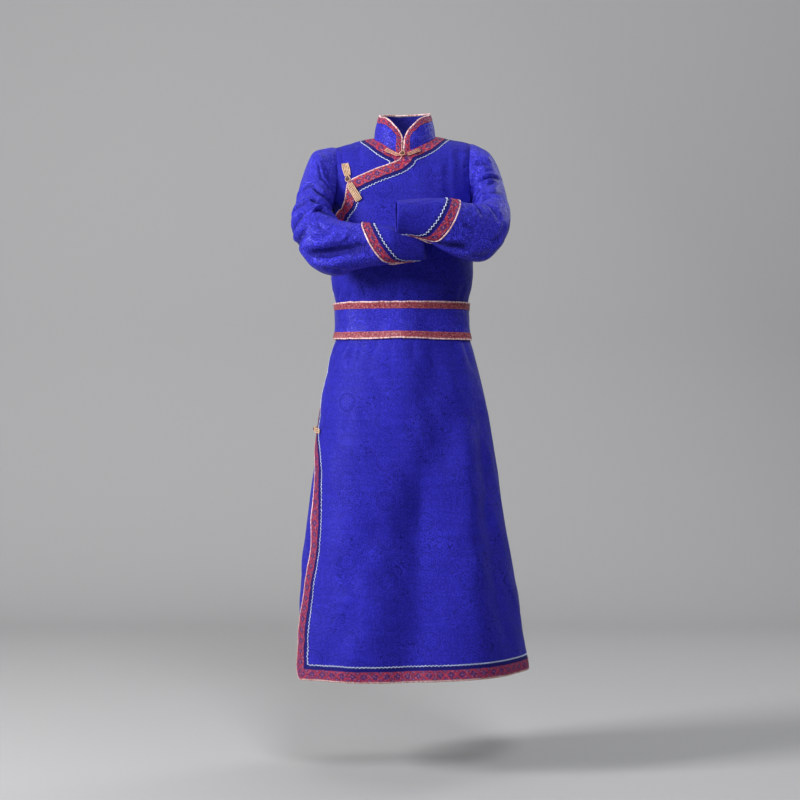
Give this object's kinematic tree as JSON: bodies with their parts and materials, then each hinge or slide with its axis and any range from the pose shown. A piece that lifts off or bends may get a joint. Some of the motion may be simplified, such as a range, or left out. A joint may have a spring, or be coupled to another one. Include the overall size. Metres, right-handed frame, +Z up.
{
  "type": "mongolian deel robe",
  "caption": "Long side-fastening robe with stand collar, crossed full sleeves, turned-back cuffs, wide belt and woven trims, held in its worn form.",
  "frame": {"origin": "centre of the base of the neck, level with the tops of the shoulders", "axes": "+Z up, -Y towards the front, +X towards the wearer's left"},
  "size_m": [0.5569, 0.4998, 1.3432],
  "materials": {
    "silk_jacquard": "royal blue silk jacquard, satin figure on a slightly duller ground, soft sheen",
    "belt_silk": "blue satin-faced silk with a small figured weave, pressed smooth",
    "ribbon": "red woven ribbon with dark triangles, pale flecks and gold figures",
    "belt_ribbon": "red and gold woven ribbon with a diamond repeat",
    "zigzag_braid": "silver-white metallic zigzag braid",
    "satin_piping": "copper-rose satin bias piping, glossy",
    "toggle_cord": "copper-gold twisted cord, sewn flat in rows",
    "toggle_button": "dark knotted cord button"
  },
  "bodies": {
    "root": {"back": "silk_jacquard", "belt": "belt_silk", "braid_back_hem": "zigzag_braid", "braid_back_neck": "zigzag_braid", "braid_cuff_left": "zigzag_braid", "braid_cuff_right": "zigzag_braid", "braid_front_outer": "zigzag_braid", "braid_front_under": "zigzag_braid", "collar": "silk_jacquard", "cuff_left": "silk_jacquard", "cuff_right": "silk_jacquard", "front_outer": "silk_jacquard", "front_under": "silk_jacquard", "piping_back_hem": "satin_piping", "piping_belt_bottom": "satin_piping", "piping_belt_top": "satin_piping", "piping_collar": "satin_piping", "piping_cuff_left": "satin_piping", "piping_cuff_right": "satin_piping", "piping_front_outer": "satin_piping", "piping_front_under": "satin_piping", "ribbon_back_hem": "ribbon", "ribbon_back_neck": "ribbon", "ribbon_belt_bottom": "belt_ribbon", "ribbon_belt_top": "belt_ribbon", "ribbon_collar": "ribbon", "ribbon_cuff_left": "ribbon", "ribbon_cuff_right": "ribbon", "ribbon_front_outer": "ribbon", "ribbon_front_under": "ribbon", "sleeve_left": "silk_jacquard", "sleeve_right": "silk_jacquard", "toggle_chest_knot": "toggle_button", "toggle_chest_loop": "toggle_cord", "toggle_chest_tab": "toggle_cord", "toggle_hip_knot": "toggle_button", "toggle_hip_loop": "toggle_cord", "toggle_hip_tab": "toggle_cord", "toggle_neck_knot": "toggle_button", "toggle_neck_loop": "toggle_cord", "toggle_neck_tab": "toggle_cord"}
  },
  "joints": []
}
